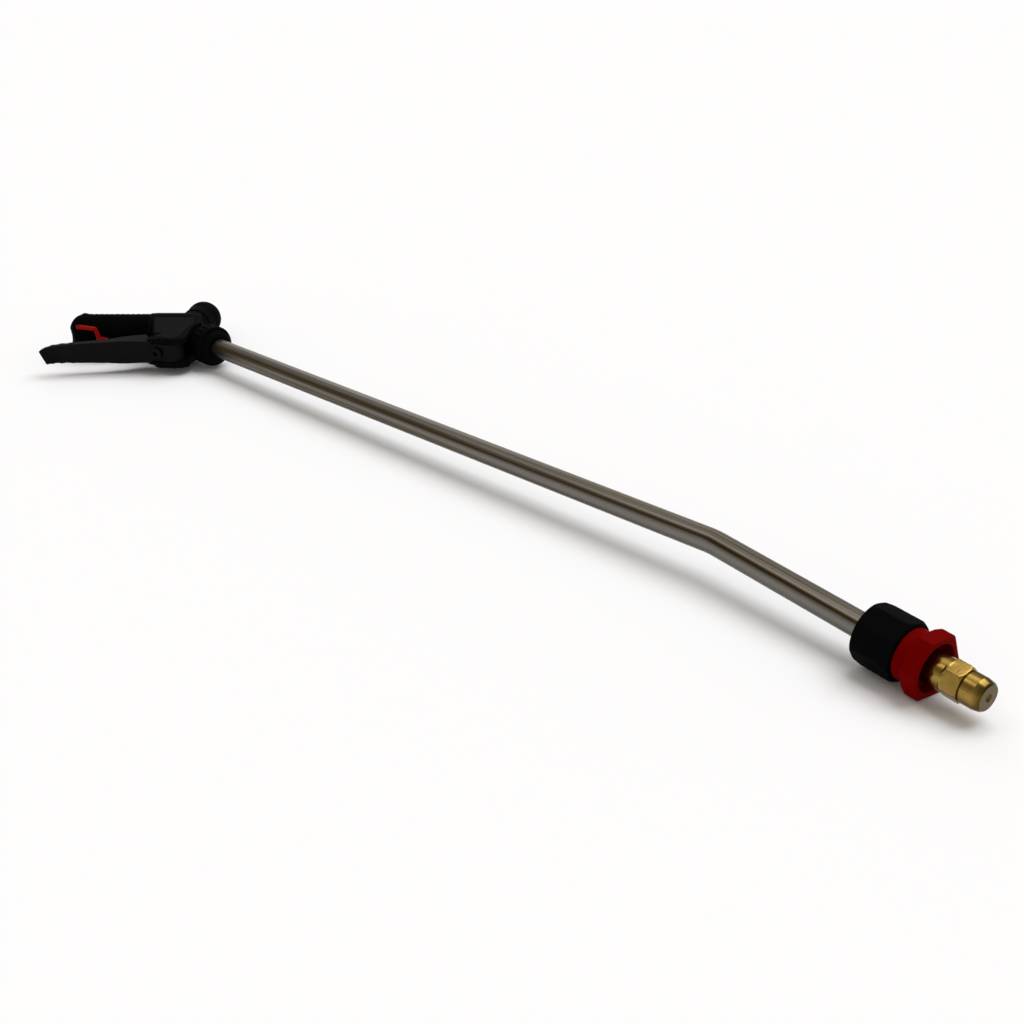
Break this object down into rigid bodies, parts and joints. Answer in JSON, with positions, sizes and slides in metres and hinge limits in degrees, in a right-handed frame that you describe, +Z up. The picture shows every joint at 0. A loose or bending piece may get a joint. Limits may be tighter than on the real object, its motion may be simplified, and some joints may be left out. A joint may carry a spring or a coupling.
{
  "type": "spray lance",
  "caption": "Hand-held spray lance: trigger valve with grip and lever, hold-open catch, bent steel lance tube and adjustable brass nozzle.",
  "frame": {"origin": "centre of the hose inlet's face, in the rear end of the hand grip", "axes": "+X along the hand grip from the hose inlet toward the valve, +Z up, square to the plane of the handle, trigger lever on the -Y side"},
  "size_m": [0.5725, 0.558, 0.0404],
  "materials": {
    "black_plastic": "satin moulded, glass filled",
    "grip_plastic": "fine moulded grain",
    "plate_plastic": "smooth satin, bare",
    "lever_plastic": "satin moulded",
    "red_plastic": "moulded, slightly glossy",
    "red_holder": "moulded, satin",
    "tube_steel": "drawn tube, lengthwise streaks",
    "steel": "bright turned",
    "dark_steel": "blackened",
    "brass": "turned",
    "nozzle_brass": "turned, lightly tarnished",
    "seal_rubber": "matt"
  },
  "bodies": {
    "handle": {"valve_body": "black_plastic", "side_plates": "plate_plastic", "hand_grip": "grip_plastic", "inlet_connector": "brass", "inlet_strainer": "steel", "inlet_seal": "seal_rubber", "inlet_pipe": "brass", "lever_pin": "steel", "catch_pins": "steel", "valve_seat": "brass", "stem_seal": "seal_rubber", "stem_gland": "brass", "valve_spring": "steel", "bonnet_cap": "black_plastic", "bonnet_seal": "seal_rubber", "spring_guide": "brass"},
    "trigger": {"trigger_lever": "lever_plastic", "adjusting_screw": "dark_steel", "adjusting_nut": "steel"},
    "stem": {"valve_stem": "steel", "valve_poppet": "brass", "poppet_seal": "seal_rubber"},
    "catch": {"lock_catch": "red_plastic"},
    "union_nut": {"lance_nut": "black_plastic"},
    "lance": {"lance_collar": "brass", "lance_seal": "seal_rubber", "lance_tube": "tube_steel", "nozzle_ferrule": "brass", "nozzle_seal": "seal_rubber", "nozzle_holder": "red_holder", "holder_seal": "seal_rubber", "nozzle_body": "nozzle_brass", "swirl_core": "brass", "cap_seal": "seal_rubber"},
    "nozzle_nut": {"nozzle_nut": "black_plastic"},
    "nozzle_cap": {"nozzle_cap": "nozzle_brass"}
  },
  "joints": [
    {"name": "trigger_squeeze", "type": "hinge", "parent": "handle", "child": "trigger", "pos_m": [0.086, -0.039, 0], "axis": [0, 0, -1], "range_deg": [0, 12], "stiffness_Nm_per_rad": 2, "springref_deg": -20.05},
    {"name": "stem_slide", "type": "slide", "parent": "handle", "child": "stem", "axis": [0.2079, 0.9781, 0], "range_m": [0, 0.0025], "deforming": ["valve_spring"]},
    {"name": "catch_turn", "type": "hinge", "parent": "handle", "child": "catch", "pos_m": [0.0061, -0.011, 0], "axis": [0, 0, -1], "range_deg": [0, 27]},
    {"name": "union_nut_turn", "type": "hinge", "parent": "handle", "child": "union_nut", "pos_m": [0.083, 0, 0], "axis": [0.7096, -0.7046, 0], "continuous": true},
    {"name": "lance_swivel", "type": "hinge", "parent": "handle", "child": "lance", "pos_m": [0.083, 0, 0], "axis": [0.7096, -0.7046, 0], "range_deg": [-180, 180]},
    {"name": "nozzle_nut_turn", "type": "hinge", "parent": "lance", "child": "nozzle_nut", "pos_m": [0.44772, -0.36218, 0], "axis": [0.6065, -0.7932, -0.0547], "continuous": true},
    {"name": "nozzle_cap_turn", "type": "hinge", "parent": "lance", "child": "nozzle_cap", "pos_m": [0.55507, -0.50257, -0.00969], "axis": [0.6065, -0.7932, -0.0547], "range_deg": [-180, 180]}
  ],
  "couplings": [
    {"joint": "stem_slide", "follows": "trigger_squeeze", "m_per_rad": 0.01104}
  ]
}
